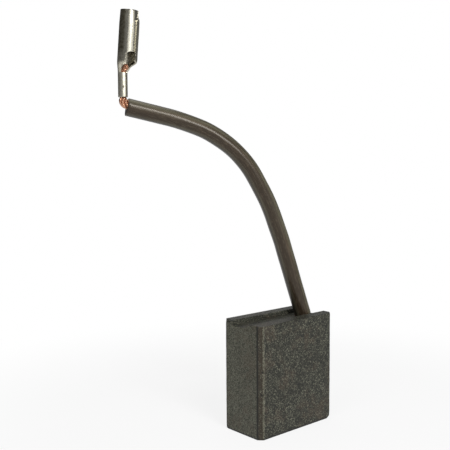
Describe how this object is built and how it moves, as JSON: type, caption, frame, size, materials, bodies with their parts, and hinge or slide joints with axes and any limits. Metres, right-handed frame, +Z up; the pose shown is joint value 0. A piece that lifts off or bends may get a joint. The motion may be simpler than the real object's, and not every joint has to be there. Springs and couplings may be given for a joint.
{
  "type": "carbon brush with shunt lead",
  "caption": "Rectangular carbon brush with a spring groove and a tamped copper shunt in an insulating sleeve, ending in a rolled and crimped socket terminal.",
  "frame": {"origin": "centre of the carbon block's contact face, on the surface that the brush stands on", "axes": "+X along the block's width, towards the end that holds the shunt; +Y across its thickness, towards the rail behind the spring groove; +Z up, from the contact face to the groove"},
  "size_m": [0.035, 0.0203, 0.0748],
  "materials": {
    "carbon": "matt",
    "copper_powder": "matt",
    "copper_strand": "bright",
    "sleeving": "satin",
    "tinned_brass": "satin"
  },
  "bodies": {
    "root": {"carbon_block": "carbon", "tamped_plug": "copper_powder", "shunt_wire": "copper_strand", "sleeve": "sleeving", "terminal": "tinned_brass"}
  },
  "joints": []
}
